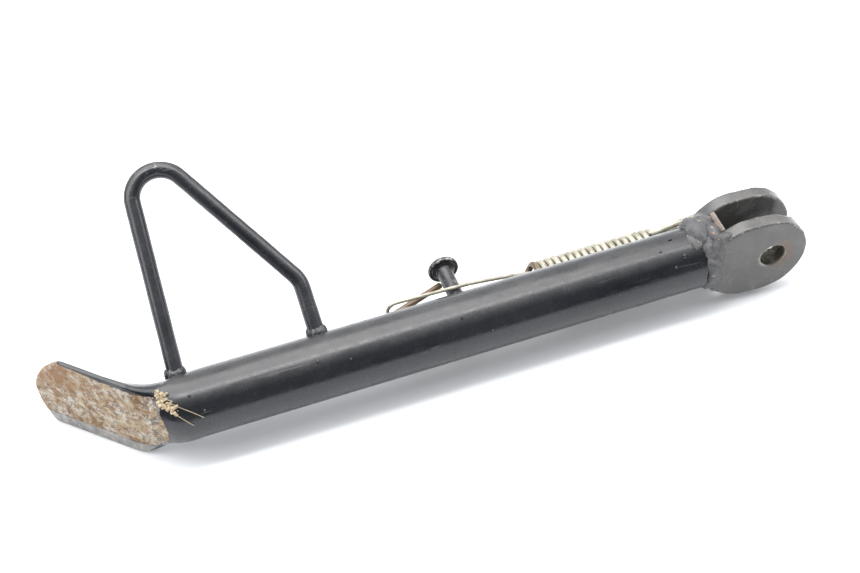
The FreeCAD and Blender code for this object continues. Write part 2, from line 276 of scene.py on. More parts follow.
def rodGrid(path, radius, axis, around=28, dome=True):
    # a circle carried square to the path; axis fixes where its first point looks
    heading = unit(np.gradient(path, axis=0))
    axis = np.array(axis, float)
    side = unit(axis - heading * (heading @ axis)[:, None])
    up = np.cross(heading, side)
    size = np.broadcast_to(radius, len(path)).copy()
    if dome:
        # each end is rounded by further rings that shrink on part of a circle, down to 0.6 of the radius
        rings, depth = 6, 0.35
        angle = np.linspace(math.pi / 2, 0.35, rings)
        tip = size[0] * depth
        lead = path[0] - heading[0] * (tip * np.sin(angle))[:, None]
        tail = path[-1] + heading[-1] * (tip * np.sin(angle[::-1]))[:, None]
        path = np.concatenate([lead, path, tail])
        side, up = (np.concatenate([np.repeat(line[:1], rings, 0), line, np.repeat(line[-1:], rings, 0)])
                    for line in (side, up))
        shrink = 1 - depth + depth * np.cos(angle)
        shrink[0] = 0.6
        size = np.concatenate([size[0] * shrink, size, size[-1] * shrink[::-1]])
    angle = np.linspace(0, 2 * math.pi, around, endpoint=False)
    ring = side[:, None] * np.cos(angle)[None, :, None] + up[:, None] * np.sin(angle)[None, :, None]
    return path[:, None] + ring * size[:, None, None]


# ---- materials

class Paint:
    # a node material with the few moves that the finishes below share
    def __init__(self, name):
        self.material = bpy.data.materials.new(name)
        self.material.use_nodes = True
        self.tree = self.material.node_tree
        self.shader = self.tree.nodes["Principled BSDF"]
        self.coords = self.tree.nodes.new("ShaderNodeTexCoord").outputs["Object"]

    def add(self, kind, **settings):
        node = self.tree.nodes.new(kind)
        for name, value in settings.items():
            setattr(node, name, value)
        return node

    def feed(self, socket, value):
        if hasattr(value, "is_output"):
            self.tree.links.new(value, socket)
        elif isinstance(value, tuple) and len(value) == 3 and socket.type == "RGBA":
            socket.default_value = (*value, 1)
        else:
            socket.default_value = value

    def noise(self, scale, detail=4, stretch=(1, 1, 1), rough=0.6, twist=0.0, offset=(0, 0, 0)):
        mapping = self.add("ShaderNodeMapping")
        mapping.inputs["Scale"].default_value = stretch
        mapping.inputs["Location"].default_value = offset
        self.feed(mapping.inputs["Vector"], self.coords)
        noise = self.add("ShaderNodeTexNoise")
        self.feed(noise.inputs["Vector"], mapping.outputs["Vector"])
        noise.inputs["Scale"].default_value = scale
        noise.inputs["Detail"].default_value = detail
        noise.inputs["Roughness"].default_value = rough
        noise.inputs["Distortion"].default_value = twist
        return noise.outputs["Fac"]

    def mask(self, name):
        return self.add("ShaderNodeAttribute", attribute_name=name).outputs["Fac"]

    def ramp(self, value, low, high, start=0.0, end=1.0):
        # low to high become start to end
        ranged = self.add("ShaderNodeMapRange", clamp=True)
        sockets = ("Value", "From Min", "From Max", "To Min", "To Max")
        for socket, setting in zip(sockets, (value, low, high, start, end)):
            self.feed(ranged.inputs[socket], setting)
        return ranged.outputs["Result"]

    def patches(self, scale, detail, low, high, start=0.0, end=1.0, **noise):
        return self.ramp(self.noise(scale, detail, **noise), low, high, start, end)

    def ragged(self, name, scale, detail, least, most, **noise):
        # a mask with a noise added, which breaks up its edge
        return self.plus(self.mask(name), self.patches(scale, detail, 0.3, 0.7, least, most, **noise))

    def part(self, vector, axis):
        split = self.add("ShaderNodeSeparateXYZ")
        self.feed(split.inputs[0], vector)
        return split.outputs[axis]

    def math(self, operation, first, second):
        node = self.add("ShaderNodeMath", operation=operation)
        self.feed(node.inputs[0], first)
        self.feed(node.inputs[1], second)
        return node.outputs[0]

    def plus(self, first, second):
        return self.math("ADD", first, second)

    def times(self, first, second):
        return self.math("MULTIPLY", first, second)

    def mix(self, amount, first, second):
        node = self.add("ShaderNodeMix", data_type="RGBA")
        self.feed(node.inputs["Factor"], amount)
        self.feed(node.inputs[6], first)
        self.feed(node.inputs[7], second)
        return node.outputs[2]

    def bump(self, height, strength, depth, below=None):
        node = self.add("ShaderNodeBump")
        node.inputs["Strength"].default_value = strength
        node.inputs["Distance"].default_value = depth
        self.feed(node.inputs["Height"], height)
        if below is not None:
            self.feed(node.inputs["Normal"], below)
        return node.outputs["Normal"]

    def finish(self, color, roughness, normal=None, metallic=0.0):
        settings = {"Base Color": color, "Roughness": roughness, "Metallic": metallic, "Normal": normal}
        for name, value in settings.items():
            if value is not None:
                self.feed(self.shader.inputs[name], value)
        return self.material


# two colours together are the ends of a patchy mixture
paintLook = {
    "dark": (0.0085, 0.0095, 0.0125),
    "faded": (0.019, 0.020, 0.0235),
    "dust": (0.23, 0.22, 0.205),
    "rust": (0.16, 0.075, 0.032),
    "steel": (0.44, 0.40, 0.36),
    "stain": (0.13, 0.065, 0.035),
    "grease": ((0.10, 0.095, 0.062), (0.035, 0.034, 0.028)),
    "rubbed": ((0.17, 0.115, 0.08), (0.27, 0.25, 0.23)),
    "roughness": (0.14, 0.31),
}


def paintLayers(paint):
    # faded patches, a film of dust on what faces up, fine dust, scratches along the tube and rust specks
    look = paintLook
    faded = paint.patches(55, 5, 0.35, 0.68, stretch=(0.35, 1, 1))
    color = paint.mix(faded, look["dark"], look["faded"])
    normal = paint.add("ShaderNodeNewGeometry").outputs["Normal"]
    facingUp = paint.ramp(paint.part(normal, "Z"), 0.72, 1.0, 0, 0.22)
    thin = paint.patches(160, 5, 0.3, 0.7, 0.35, 1, stretch=(0.4, 1, 1), offset=(7, 1, 3))
    film = paint.times(facingUp, thin)
    color = paint.mix(film, color, look["dust"])
    dust = paint.patches(1700, 3, 0.64, 0.78, 0, 0.26)
    color = paint.mix(dust, color, look["dust"])
    scratch = paint.patches(420, 3, 0.65, 0.73, 0, 0.24, stretch=(0.06, 1, 1), twist=0.4)
    color = paint.mix(scratch, color, look["dust"])
    specks = paint.patches(310, 4, 0.71, 0.75, 0, 0.7, offset=(3, 8, 1))
    color = paint.mix(specks, color, look["rust"])
    rough = paint.plus(paint.patches(240, 4, 0.3, 0.7, *look["roughness"]), paint.times(film, 0.45))
    height = paint.plus(paint.noise(700, 3), paint.times(scratch, -1.5))
    return color, rough, height


def makeBlackPaint(name, grimeAndShade=False):
    # worn to steel where the mask "wear" says; with grime, also stained and greasy by those masks
    paint = Paint(name)
    color, rough, height = paintLayers(paint)
    bare = paint.ramp(paint.ragged("wear", 600, 5, -0.5, 0.35), 0.5, 0.72, 0, 0.7)
    color = paint.mix(bare, color, paintLook["steel"])
    if grimeAndShade:
        # an even grey haze lies over the ears' faces
        color = paint.mix(paint.patches(120, 5, 0.3, 0.7, 0.22, 0.38), color, paintLook["dust"])
        # rust stains spread from the fork's hole, and old grease fills its rim
        stain = paint.times(paint.mask("stain"), paint.patches(330, 5, 0.35, 0.6))
        color = paint.mix(stain, color, paintLook["stain"])
        grease = paint.mix(paint.patches(420, 4, 0.3, 0.7), *paintLook["grease"])
        color = paint.mix(paint.mask("grease"), color, grease)
    return paint.finish(color, rough, paint.bump(height, 0.22, 0.1 * mm), paint.times(bare, 0.6))


def makeWebPaint():
    # bare, bright edge where the bracket's plate has rubbed the bottom of the slot
    paint = Paint("webPaint")
    color, rough, height = paintLayers(paint)
    ragged = paint.plus(paint.part(paint.coords, "X"), paint.patches(500, 5, 0.3, 0.7, -0.7 * mm, 0.7 * mm))
    edge = paint.ramp(ragged, -21.6 * mm, -20.8 * mm)
    tone = paint.mix(paint.patches(420, 6, 0.35, 0.65, rough=0.7), *paintLook["rubbed"])
    color = paint.mix(edge, color, tone)
    return paint.finish(color, rough, paint.bump(height, 0.3, 0.2 * mm), paint.times(edge, 0.3))


soleLook = {
    "cream": (0.41, 0.325, 0.215),
    "chalk": (0.50, 0.465, 0.40),
    "rust": (0.25, 0.13, 0.055),
    "brown": (0.115, 0.066, 0.036),
    "scuffed": ((0.34, 0.32, 0.295), (0.13, 0.125, 0.12)),
}


def makeFootPaint():
    # the leg's paint, worn through to rust, chalky dirt and scuffed steel on the sole
    paint = Paint("legPaint")
    color, rough, height = paintLayers(paint)
    look = soleLook
    crust = paint.mix(paint.patches(210, 8, 0.42, 0.56, rough=0.72), look["rust"], look["cream"])
    chalky = paint.patches(170, 8, 0.48, 0.58, offset=(3, 1, 2), rough=0.74)
    crust = paint.mix(chalky, crust, look["chalk"])
    blotches = paint.patches(430, 8, 0.50, 0.60, 0, 0.85, offset=(1, 5, 2), rough=0.8)
    crust = paint.mix(blotches, crust, look["brown"])
    # thin cracks where a noise crosses its middle value
    fromMiddle = paint.math("SUBTRACT", paint.noise(95, 5, offset=(4, 2, 6)), 0.5)
    cracks = paint.ramp(paint.math("ABSOLUTE", fromMiddle, 0), 0.0, 0.016, 0.95, 0)
    crust = paint.mix(cracks, crust, look["brown"])
    rustier = paint.times(paint.mask("rusty"), paint.patches(300, 7, 0.38, 0.55, 0.1, 0.9, rough=0.7))
    crust = paint.mix(rustier, crust, look["rust"])
    scuffTone = paint.mix(paint.patches(300, 5, 0.35, 0.65, stretch=(1, 1, 0.4)), *look["scuffed"])
    scuff = paint.ramp(paint.ragged("scuff", 420, 6, -0.42, 0.32, rough=0.7), 0.42, 0.66, 0, 0.9)
    color = paint.mix(scuff, color, scuffTone)
    worn = paint.ramp(paint.ragged("sole", 350, 7, -0.35, 0.35, rough=0.7), 0.45, 0.58)
    color = paint.mix(worn, color, crust)
    rough = paint.plus(rough, paint.times(worn, 0.5))
    crustHeight = paint.times(paint.noise(430, 8, rough=0.75), worn)
    fine = paint.bump(height, 0.22, 0.1 * mm)
    return paint.finish(color, rough, paint.bump(crustHeight, 1.0, 1 * mm, fine))


weldLook = {
    "thin": (0.125, 0.124, 0.126),
    "bare": ((0.36, 0.31, 0.27), (0.30, 0.17, 0.09)),
}


def makeWeldPaint():
    # thin paint over a lumpy bead, chipped to pale metal and rust on its high spots
    paint = Paint("weldPaint")
    color, rough = paintLayers(paint)[:2]
    thin = paint.patches(260, 6, 0.35, 0.65, 0.35, 0.85, stretch=(1.6, 1, 0.5), rough=0.7)
    color = paint.mix(thin, color, weldLook["thin"])
    chips = paint.ramp(paint.ragged("high", 380, 6, -0.55, 0.35, rough=0.7), 0.93, 1.08, 0, 0.8)
    bare = paint.mix(paint.patches(160, 4, 0.45, 0.6, offset=(5, 5, 5)), *weldLook["bare"])
    color = paint.mix(chips, color, bare)
    lumpy = paint.bump(paint.noise(520, 7, rough=0.7), 0.9, 0.9 * mm)
    return paint.finish(color, paint.plus(rough, 0.12), lumpy)


wireLook = {
    "plate": ((0.52, 0.49, 0.40), (0.27, 0.25, 0.19)),
    # the colour of the painted shade in the hollows between the coils' turns
    "hollowShade": (0.055, 0.052, 0.034),
    "brown": (0.11, 0.065, 0.032),
    "metallic": 0.35,
}


def makeWireFinish():
    # pale plated wire, painted darker in the coils' hollows as shade, and brown where the mask "brown" says
    paint = Paint("platedWire")
    color = paint.mix(paint.patches(190, 6, 0.36, 0.64, rough=0.7), *wireLook["plate"])
    stains = paint.ragged("brown", 330, 6, -0.45, 0.5, offset=(2, 2, 0), rough=0.7)
    color = paint.mix(paint.ramp(stains, 0.4, 0.75, 0, 0.9), color, wireLook["brown"])
    # painted shade: the hollows between the coils' turns are darkened
    color = paint.mix(paint.times(paint.mask("grimeAndShade"), 0.92), color, wireLook["hollowShade"])
    rough = paint.patches(700, 4, 0.3, 0.7, 0.26, 0.5)
    return paint.finish(color, rough, paint.bump(paint.noise(1200, 4), 0.35, 0.15 * mm), wireLook["metallic"])


mudLook = {
    "pale": ((0.33, 0.245, 0.15), (0.52, 0.44, 0.31)),
    "dark": (0.22, 0.14, 0.07),
    "roughness": 0.92,
}


def makeMudFinish():
    paint = Paint("driedMud")
    color = paint.mix(paint.patches(450, 6, 0.3, 0.7, rough=0.7), *mudLook["pale"])
    dark = paint.patches(700, 5, 0.6, 0.72, 0, 0.8, offset=(4, 0, 1))
    color = paint.mix(dark, color, mudLook["dark"])
    return paint.finish(color, mudLook["roughness"], paint.bump(paint.noise(1300, 6), 0.8, 0.4 * mm))


greaseLook = {
    "olive": ((0.10, 0.10, 0.075), (0.055, 0.055, 0.045)),
    "grit": (0.20, 0.19, 0.15),
    "roughness": 0.45,
}


def makeGreaseFinish():
    # olive grease with grit in it
    paint = Paint("oldGrease")
    color = paint.mix(paint.patches(300, 5, 0.35, 0.65), *greaseLook["olive"])
    color = paint.mix(paint.patches(900, 5, 0.5, 0.7), color, greaseLook["grit"])
    return paint.finish(color, greaseLook["roughness"], paint.bump(paint.noise(700, 6), 0.6, 0.4 * mm))


floorLook = {
    "pale": ((0.86, 0.87, 0.885), (0.87, 0.88, 0.895)),
    "roughness": 0.7,
}


def makeFloorFinish():
    paint = Paint("paleFloor")
    return paint.finish(paint.mix(paint.patches(3, 2, 0.3, 0.7), *floorLook["pale"]), floorLook["roughness"])


blackPaint = makeBlackPaint("blackPaint")
rodPaint = makeBlackPaint("rodPaint")
earPaint = makeBlackPaint("earPaint", grimeAndShade=True)
webPaint = makeWebPaint()
legPaint = makeFootPaint()
weldPaint = makeWeldPaint()
wireFinish = makeWireFinish()
mudFinish = makeMudFinish()
greaseFinish = makeGreaseFinish()
print("materials made")


# ---- leg tube with its pressed foot

foot = {
    "angle": 44,  # degrees from the tube's line
    "heel": 258 * mm,  # from the pivot to where the sole's plane crosses the tube's axis
    "length": 46.3 * mm,
    "halfWidth": 20 * mm,
    "drop": 1.4 * mm,  # how far the pressed part sits below the tube's axis
    "edge": 1.5 * mm,  # half the thickness of the pressed edges
    "bendStart": 232 * mm,
    "bendRadius": 17 * mm,
    "crease": -5.9 * mm,  # where the sole's flat begins, along the sole from the heel
    "backCorner": (-248.4 * mm, 11.8 * mm),  # where the tube's back turns along the foot
    "backRadius": 9 * mm,
    "plateFrom": 15 * mm,
    "bulge": 2.4,  # power of the back's bulge across the foot
    "squareness": 0.24,  # power that flattens the plate's two faces
    "rows": (170, 60, 120),  # along the tube, the bend and the sole
    "around": 144,
    "rim": 14.4 * mm,  # the scuffed lower margin begins this far below the middle
    # where the dirt's slanting edge lies along the sole at each height, in mm
    "dirtEdge": ((-21, 1), (-13, -7), (-6, -13), (0, -14), (5.5, -12.5), (12, -7), (16, -1.5), (19.7, 4)),
    # how far the toe reaches along the sole at each height, in mm
    "toe": ((-24, 38.5), (-21.4, 41.2), (-20, 42.9), (-17, 44.1), (-9.7, 45.7), (-3.2, 46.2), (0.9, 45.3),
            (5, 43.4), (8.8, 40.9), (12.5, 37.9), (16.2, 33.9), (18.0, 31.0), (18.8, 28.8), (24, 22)),
}


def resample(path, count):
    # evenly spaced points along a line of points
    gone = np.concatenate([[0], np.cumsum(np.linalg.norm(np.diff(path, axis=0), axis=1))])
    want = np.linspace(0, gone[-1], count)
    return np.stack([np.interp(want, gone, path[:, k]) for k in range(path.shape[1])], -1)


def legSkin():
    # sections between a front and a back line; each turns from a circle into a flat plate with a bulged back
    turn = math.radians(foot["angle"])
    along = np.array([-math.cos(turn), math.sin(turn)])
    back = np.array([math.sin(turn), math.cos(turn)])
    heel = np.array([-foot["heel"], 0.0])
    edge = foot["edge"]
    crease = heel + along * foot["crease"]
    bendCorner = heel - along * (tubeRadius / along[1])
    front = roundedPath([(-foot["bendStart"], -tubeRadius, 0), (*bendCorner, 0), (*crease, 0)],
                        [foot["bendRadius"]])[:, :2]
    corner = np.array(foot["backCorner"])
    end = heel + back * 2.2 * edge + along * foot["plateFrom"]
    backLine = roundedPath([(-foot["bendStart"], tubeRadius, 0), (*corner, 0), (*end, 0)],
                           [foot["backRadius"]])[:, :2]
    tubeRows, bendRows, soleRows = foot["rows"]
    backDepth = (backLine - heel) @ back
    backS = (backLine - heel) @ along
    turned = int(np.argmax(backS > foot["crease"] + 2 * mm))
    straight = np.linspace(tubeEnd, -foot["bendStart"], tubeRows, endpoint=False)
    rear = resample(backLine[:turned + 1], bendRows)
    soleS = np.linspace(foot["crease"], foot["length"], soleRows + 1)[1:]
    rearS = backS[turned] + (foot["length"] - backS[turned]) * (
        (soleS - foot["crease"]) / (foot["length"] - foot["crease"]))
    bulge = np.interp(rearS, backS[turned:], backDepth[turned:])
    fading = 2 * edge + (bulge - 2 * edge) * np.exp(-(rearS - backS[-1]) / (6 * mm))
    bulge = np.where(rearS > backS[-1], fading, bulge)
    tubeFront = np.stack([straight, np.full(len(straight), -tubeRadius)], -1)
    frontLine = np.concatenate([tubeFront, resample(front, bendRows), heel + along * soleS[:, None]])
    soleBack = heel + along * rearS[:, None] + back * bulge[:, None]
    rearLine = np.concatenate([tubeFront * (1, -1), rear, soleBack])
    # s counts along the sole; it is -30 mm on the tube and catches up through the bend
    s = np.concatenate([np.full(tubeRows, -30 * mm), np.linspace(-29 * mm, foot["crease"], bendRows), soleS])
    depth = np.linalg.norm(rearLine - frontLine, axis=1)
    flatness = smooth(s, -14 * mm, 3 * mm)[:, None]
    v = np.linspace(0, 2 * math.pi, foot["around"], endpoint=False)
    v = v + 0.3 * np.sin(2 * v)
    face, lift = np.cos(v), np.sin(v)
    # the upper edge spreads over a short way, the lower one over a longer way
    flare = np.where(lift > 0, smooth(s, -9 * mm, 3 * mm)[:, None], smooth(s, -27 * mm, 9 * mm)[:, None])
    level = np.sign(face) * np.abs(face) ** foot["squareness"]
    # depth from the sole: e (1 - level) in front, and behind it also (depth - 2 e) |cos v| ^ bulge
    rearBulge = (depth[:, None] - 2 * edge) * np.abs(face) ** foot["bulge"]
    plate = edge * (1 - level) + np.where(face < 0, rearBulge, 0)
    share = (1 - flatness) * (1 - face) / 2 + flatness * plate / depth[:, None]
    width = tubeRadius + (foot["halfWidth"] - tubeRadius) * flare
    height = width * lift
    plan = frontLine[:, None] + (rearLine - frontLine)[:, None] * share[..., None]
    # lengthwise lines stop at the toe's outline
    heightMm = (height - foot["drop"] * flare) / mm
    places, reaches = np.array(foot["toe"]).T
    toe = np.interp(heightMm, places, reaches) * mm
    begin = 8 * mm
    sole = (plan - heel) @ along
    scaled = begin + (toe - begin) * (sole - begin) / (foot["length"] - begin)
    shift = np.where((sole > begin) & (s > foot["crease"])[:, None], scaled - sole, 0)
    plan = plan + along * shift[..., None]
    # the toe's rim: half rounds that close on the plate's middle
    angle = np.linspace(0, 1.35, 7)[1:]
    last = plan[-1]
    inward = (last - heel) @ back - edge
    base = last - inward[:, None] * back
    rings = np.array([base + inward[:, None] * back * math.cos(a) + along * edge * math.sin(a)
                      for a in angle])
    plan = np.concatenate([plan, rings])
    rim = np.repeat(height[-1:] - foot["drop"], len(angle), 0)
    height = np.concatenate([height - foot["drop"] * flare, rim])
    grid = np.concatenate([plan, height[..., None]], -1)
    rows = np.concatenate([s, np.full(len(angle), foot["length"])])
    return grid, (plan - heel) @ along, rows, np.broadcast_to(face, height.shape)


def makeLeg():
    grid, sole, rows, facing = legSkin()
    z = grid[..., 2]
    rows = np.broadcast_to(rows[:, None], z.shape)
    pressed = smooth(rows, -15 * mm, 2 * mm)
    # the dirt's edge runs slantwise over the bend
    dirtEdge = np.interp(z / mm, *np.array(foot["dirtEdge"]).T) * mm
    onSole = smooth(facing, 0.02, 0.2) * smooth(sole, dirtEdge - 1.5 * mm, dirtEdge + 1.5 * mm)
    turn = math.radians(foot["angle"])
    outward = np.array([-math.sin(turn), -math.cos(turn), 0])
    dents = lumps(grid, 15 * mm, 3)
    inner = smooth(np.abs(facing), 0.1, 0.5)
    grid = grid + outward * (dents * 0.22 * mm * pressed * inner)[..., None]
    crust = np.clip(lumps(grid, 3.4 * mm, 5, 30), -0.3, 1)
    contact = smooth(z, -foot["rim"] - 1.0 * mm, -foot["rim"] + 1.0 * mm)
    grid = grid + outward * (crust * 0.16 * mm * onSole * contact * inner)[..., None]
    # the upper edge keeps a strip of paint, wider towards the bend
    upper = foot["halfWidth"] - foot["drop"]
    strip = 1.5 * mm * (1 - smooth(sole, 4 * mm, 30 * mm)) + 0.2 * mm
    strip = strip + 5 * mm * (1 - smooth(sole, -9 * mm, 3 * mm))
    topEdge = 1 - smooth(z, upper - strip - 0.5 * mm, upper - strip + 0.5 * mm)
    upToe = smooth(sole, 14 * mm, 32 * mm) * smooth(z, 0, 9 * mm)
    # a half bare, scuffed band along the bend
    band = smooth(sole, -12 * mm, -9.5 * mm) * smooth(-sole, 5.5 * mm, 7.5 * mm)
    band = band * smooth(-z, -14 * mm, -10 * mm)
    soleDirt = onSole * contact * topEdge * (1 - 0.42 * band)
    masks = {
        "sole": soleDirt,
        "scuff": np.maximum(onSole * (1 - contact), 0.85 * band * smooth(facing, 0.1, 0.4)),
        "rusty": np.clip(upToe, 0, 1),
    }
    makePiece("legTube", [grid], "leg", legPaint, ["leg_tube"], masks, zipEnd=True)


makeLeg()
print("leg made")


# ---- fork ears

ear = {
    "edge": 0.9 * mm,  # rounding of the outer edges
    "chamfer": 0.45 * mm,
    "boreRadius": 5.2 * mm,
    "thickness": 5.9 * mm,
    "gap": 10.8 * mm,
    "radius": 18.4 * mm,
    "setback": 3.8 * mm,
    "rear": 10.6 * mm,
    "lean": 2.6,  # degrees
}


def earOutline(count=420):
    # half circles round the nose and the tube's end, joined by two flats
    radius, nose, rear = ear["radius"], -ear["setback"], -ear["rear"]
    angle = np.linspace(math.pi / 2, 1.5 * math.pi, 260)
    ring = np.stack([np.cos(angle), np.sin(angle)], -1) * radius
    path = np.concatenate([ring + (rear, 0), -ring + (nose, 0), (ring + (rear, 0))[:1]])
    return resample(path, count + 1)[:-1]


def makeEar(name, node, side):
    # rings from the bore's wall over the outer face and edge to the inner face and back
    outline = earOutline()
    tangent = unit(np.roll(outline, -1, 0) - np.roll(outline, 1, 0))
    inward = np.stack([tangent[:, 1], -tangent[:, 0]], -1)
    if (inward[0] @ (-outline[0])) < 0:
        inward = -inward
    direction = unit(outline)
    bore, chamfer, edge, thick = ear["boreRadius"], ear["chamfer"], ear["edge"], ear["thickness"]
    rings = []
    depths = []
    wear = []
    grease = []

    def ring(points, depth, worn=0.0, greasy=0.0):
        rings.append(points)
        depths.append(np.full(len(points), depth))
        wear.append(np.full(len(points), worn))
        grease.append(np.full(len(points), greasy))

    # depth 0 is the slot side, thick is the outer face
    for depth in np.linspace(chamfer, thick - chamfer, 7):
        ring(direction * bore, depth, 0.3, 1)
    for part in (0.35, 0.7, 1.0):
        ring(direction * (bore + chamfer * part), thick - chamfer + chamfer * part, 0.9, 0.3)
    inset = outline + inward * edge
    for part in np.linspace(0, 1, 15)[1:-1]:
        ring(direction * (bore + chamfer) * (1 - part) + inset * part, thick, 0.0, 0.5 * (1 - part) ** 6)
    for angle in np.linspace(0, math.pi / 2, 7):
        spot = outline + inward * edge * (1 - math.sin(angle))
        ring(spot, thick - edge * (1 - math.cos(angle)), 0.15 + 0.45 * math.sin(2 * angle))
    for depth in np.linspace(thick - edge, edge, 7)[1:-1]:
        ring(outline, depth, 0.1)
    for angle in np.linspace(math.pi / 2, 0, 7):
        spot = outline + inward * edge * (1 - math.sin(angle))
        ring(spot, edge * (1 - math.cos(angle)), 0.15 + 0.45 * math.sin(2 * angle))
    for part in np.linspace(1, 0, 12)[1:-1]:
        ring(direction * (bore + chamfer) * (1 - part) + inset * part, 0, 0.1)
    for part in (1.0, 0.7, 0.35):
        ring(direction * (bore + chamfer * part), chamfer - chamfer * part, 0.6, 0.8)
    plan = np.array(rings)
    depth = np.array(depths)
    worn = np.array(wear)
    x, z = plan[..., 0], plan[..., 1]
    across = side * (ear["gap"] / 2 + depth)
    points = np.stack([x, across, z], -1)
    # forged unevenness of the faces and a wavering edge
    points[..., 1] += side * 0.10 * mm * lumps(points, 12 * mm, 11 + side)
    rim = smooth(worn, 0.15, 0.4) * smooth(np.hypot(x, z), bore * 1.6, bore * 2.4)
    waver = 0.12 * mm * rim * lumps(points, 6 * mm, 21 + side)
    points[..., 0] += waver
    points[..., 2] += waver
    lean = math.radians(ear["lean"])
    turn = np.array([[math.cos(lean), math.sin(lean), 0], [-math.sin(lean), math.cos(lean), 0], [0, 0, 1]])
    points = points @ turn.T
    bolt = np.hypot(x, z)
    stain = (1 - smooth(bolt, 6 * mm, 11 * mm)) * smooth(x, -2 * mm, 5 * mm) * (depth >= thick - 0.01 * mm)
    makePiece(name, [points], "leg", earPaint, [node],
              {"wear": worn, "grease": np.array(grease), "stain": stain}, closeRows=True)


makeEar("nearEar", "near_ear", -1)
makeEar("farEar", "far_ear", 1)
print("ears made")


# ---- tang, welds and post

tang = {
    "lean": 37,  # degrees from +Y towards +Z
    "radius": 3.25 * mm,
    # place along X and reach from the tube's axis, in mm
    "corners": ((-239.5, 10.5), (-236.1, 114.0), (-184.6, 34.4), (-184.1, 10.5)),
    "bends": (10.7 * mm, 11 * mm),
    "around": 28,
}
tangTurn = math.radians(tang["lean"])
tangOut = np.array([0, math.cos(tangTurn), math.sin(tangTurn)])
tangSquare = np.array([0, -math.sin(tangTurn), math.cos(tangTurn)])


def tangPlace(x, reach):
    return np.array([x * mm, 0, 0]) + tangOut * reach * mm


def makeTang():
    # a rod in one leaning plane, slightly uneven, thicker and more worn at its crown
    path = roundedPath([tangPlace(x, reach) for x, reach in tang["corners"]], tang["bends"], 0.6 * mm)
    reach = path @ tangOut
    crown = smooth(reach, 84 * mm, 92 * mm)
    radius = tang["radius"] * (1 + 0.012 * lumps(path, 24 * mm, 31) + 0.01 * crown)
    wear = np.repeat(0.55 * (0.25 + 0.45 * crown)[:, None], tang["around"], 1)
    grid = rodGrid(path, radius, tangSquare, tang["around"], dome=False)
    grid = grid + 0.02 * mm * lumps(grid, 5 * mm, 33)[..., None]
    makePiece("tangRod", [grid], "leg", rodPaint, ["tang_loop"], {"wear": wear})


def beadGrid(centre, normal, ring, bead, seed, ripple=0.22, count=96, sag=0.0, tall=1.0):
    # a ring of weld: a small circle carried round a large one, swollen by lumps and by regular ripples,
    # sunk by the drop of a round surface, sag (sin turn)^2, to either side of the tube's line
    normal = unit(np.array(normal, float))
    first = np.array([1.0, 0, 0])
    first = unit(first - normal * normal[0]) if abs(normal[0]) < 0.9 else np.array([0, 1.0, 0])
    second = np.cross(normal, first)
    turn = np.linspace(0, 2 * math.pi, count, endpoint=False)[:, None]
    around = np.linspace(0, 2 * math.pi, 26, endpoint=False)[None, :]
    out = first * np.cos(turn)[..., None] + second * np.sin(turn)[..., None]
    place = centre + out * ring
    ripples = 0.35 * np.sin(turn * round(ring / bead * 3.2))
    thick = bead * (1 + ripple * (lumps(place, bead * 2.6, seed) + ripples))
    grid = place + out * (thick * np.cos(around))[..., None]
    grid = grid + normal * (thick * np.sin(around) * tall - sag * np.sin(turn) ** 2)[..., None]
    return grid + 0.12 * bead * lumps(grid, bead * 0.9, seed + 1)[..., None] * out


def blobGrid(centre, halves, seed, rough=0.12, rows=28, columns=40):
    # an ellipsoid pushed in and out by coarse and fine lumps
    polar = np.linspace(0.06, math.pi - 0.06, rows)[:, None]
    turn = np.linspace(0, 2 * math.pi, columns, endpoint=False)[None, :]
    ball = np.stack([np.cos(polar) + 0 * turn, np.sin(polar) * np.cos(turn),
                     np.sin(polar) * np.sin(turn)], -1)
    halves = np.array(halves)
    grain = halves.mean() * 1.2
    coarse, fine = lumps(ball * halves, grain, seed, 20), lumps(ball * halves, grain / 3, seed + 1)
    swell = 1 + rough * (coarse + 0.4 * fine)
    return np.array(centre) + ball * halves * swell[..., None]


def highSpots(grid, seed):
    # where a bead stands proud, for its chipped paint
    return 0.5 + 0.5 * lumps(grid, 2.2 * mm, seed)


# all in mm
weld = {
    # piece: its node and its place along X
    "tang": {"tangWeldFoot": ("tang_weld_foot_end", -239.5), "tangWeldFork": ("tang_weld_fork_end", -184.1)},
    "tangReach": 13.1,
    "post": (-126, 12.8, 0),
    "collar": (-26.9, 0.5, 0),
    "collarFlat": 11.5,  # the far side is flattened beyond this, where the spring passes
    # the near side's flush band, which fills the ear's rear corners: place, half width along X, half depth
    "band": ((-23.4, -8.0, -13.4, 1.5, 1.2), (-24.6, -8.6, -10.5, 2.6, 1.9), (-25.2, -9.0, -5, 3.2, 2.3),
             (-25.4, -9.1, 1, 3.3, 2.4), (-25.0, -8.9, 7, 3.5, 2.4), (-23.4, -8.4, 12, 4.4, 2.3),
             (-22.0, -8.1, 14.6, 4.2, 2.1), (-21.8, -7.9, 16.6, 2.4, 1.4)),
    # what was built up over the collar: each lump's place and half sizes
    "top": (((-28.6, 1.2, 11.6), (4.8, 7.0, 4.4)), ((-25.0, 4.4, 12.2), (4.6, 5.0, 4.4)),
            ((-31.6, -2.0, 11.4), (3.4, 5.0, 2.0)), ((-23.6, -2.4, 13.2), (3.0, 5.6, 2.6)),
            ((-29.4, 7.2, 9.6), (4.0, 4.0, 4.0)), ((-27.4, -6.6, 10.4), (3.2, 3.6, 2.6)),
            ((-25.9, 5.4, 14.6), (1.7, 1.7, 1.9))),
}


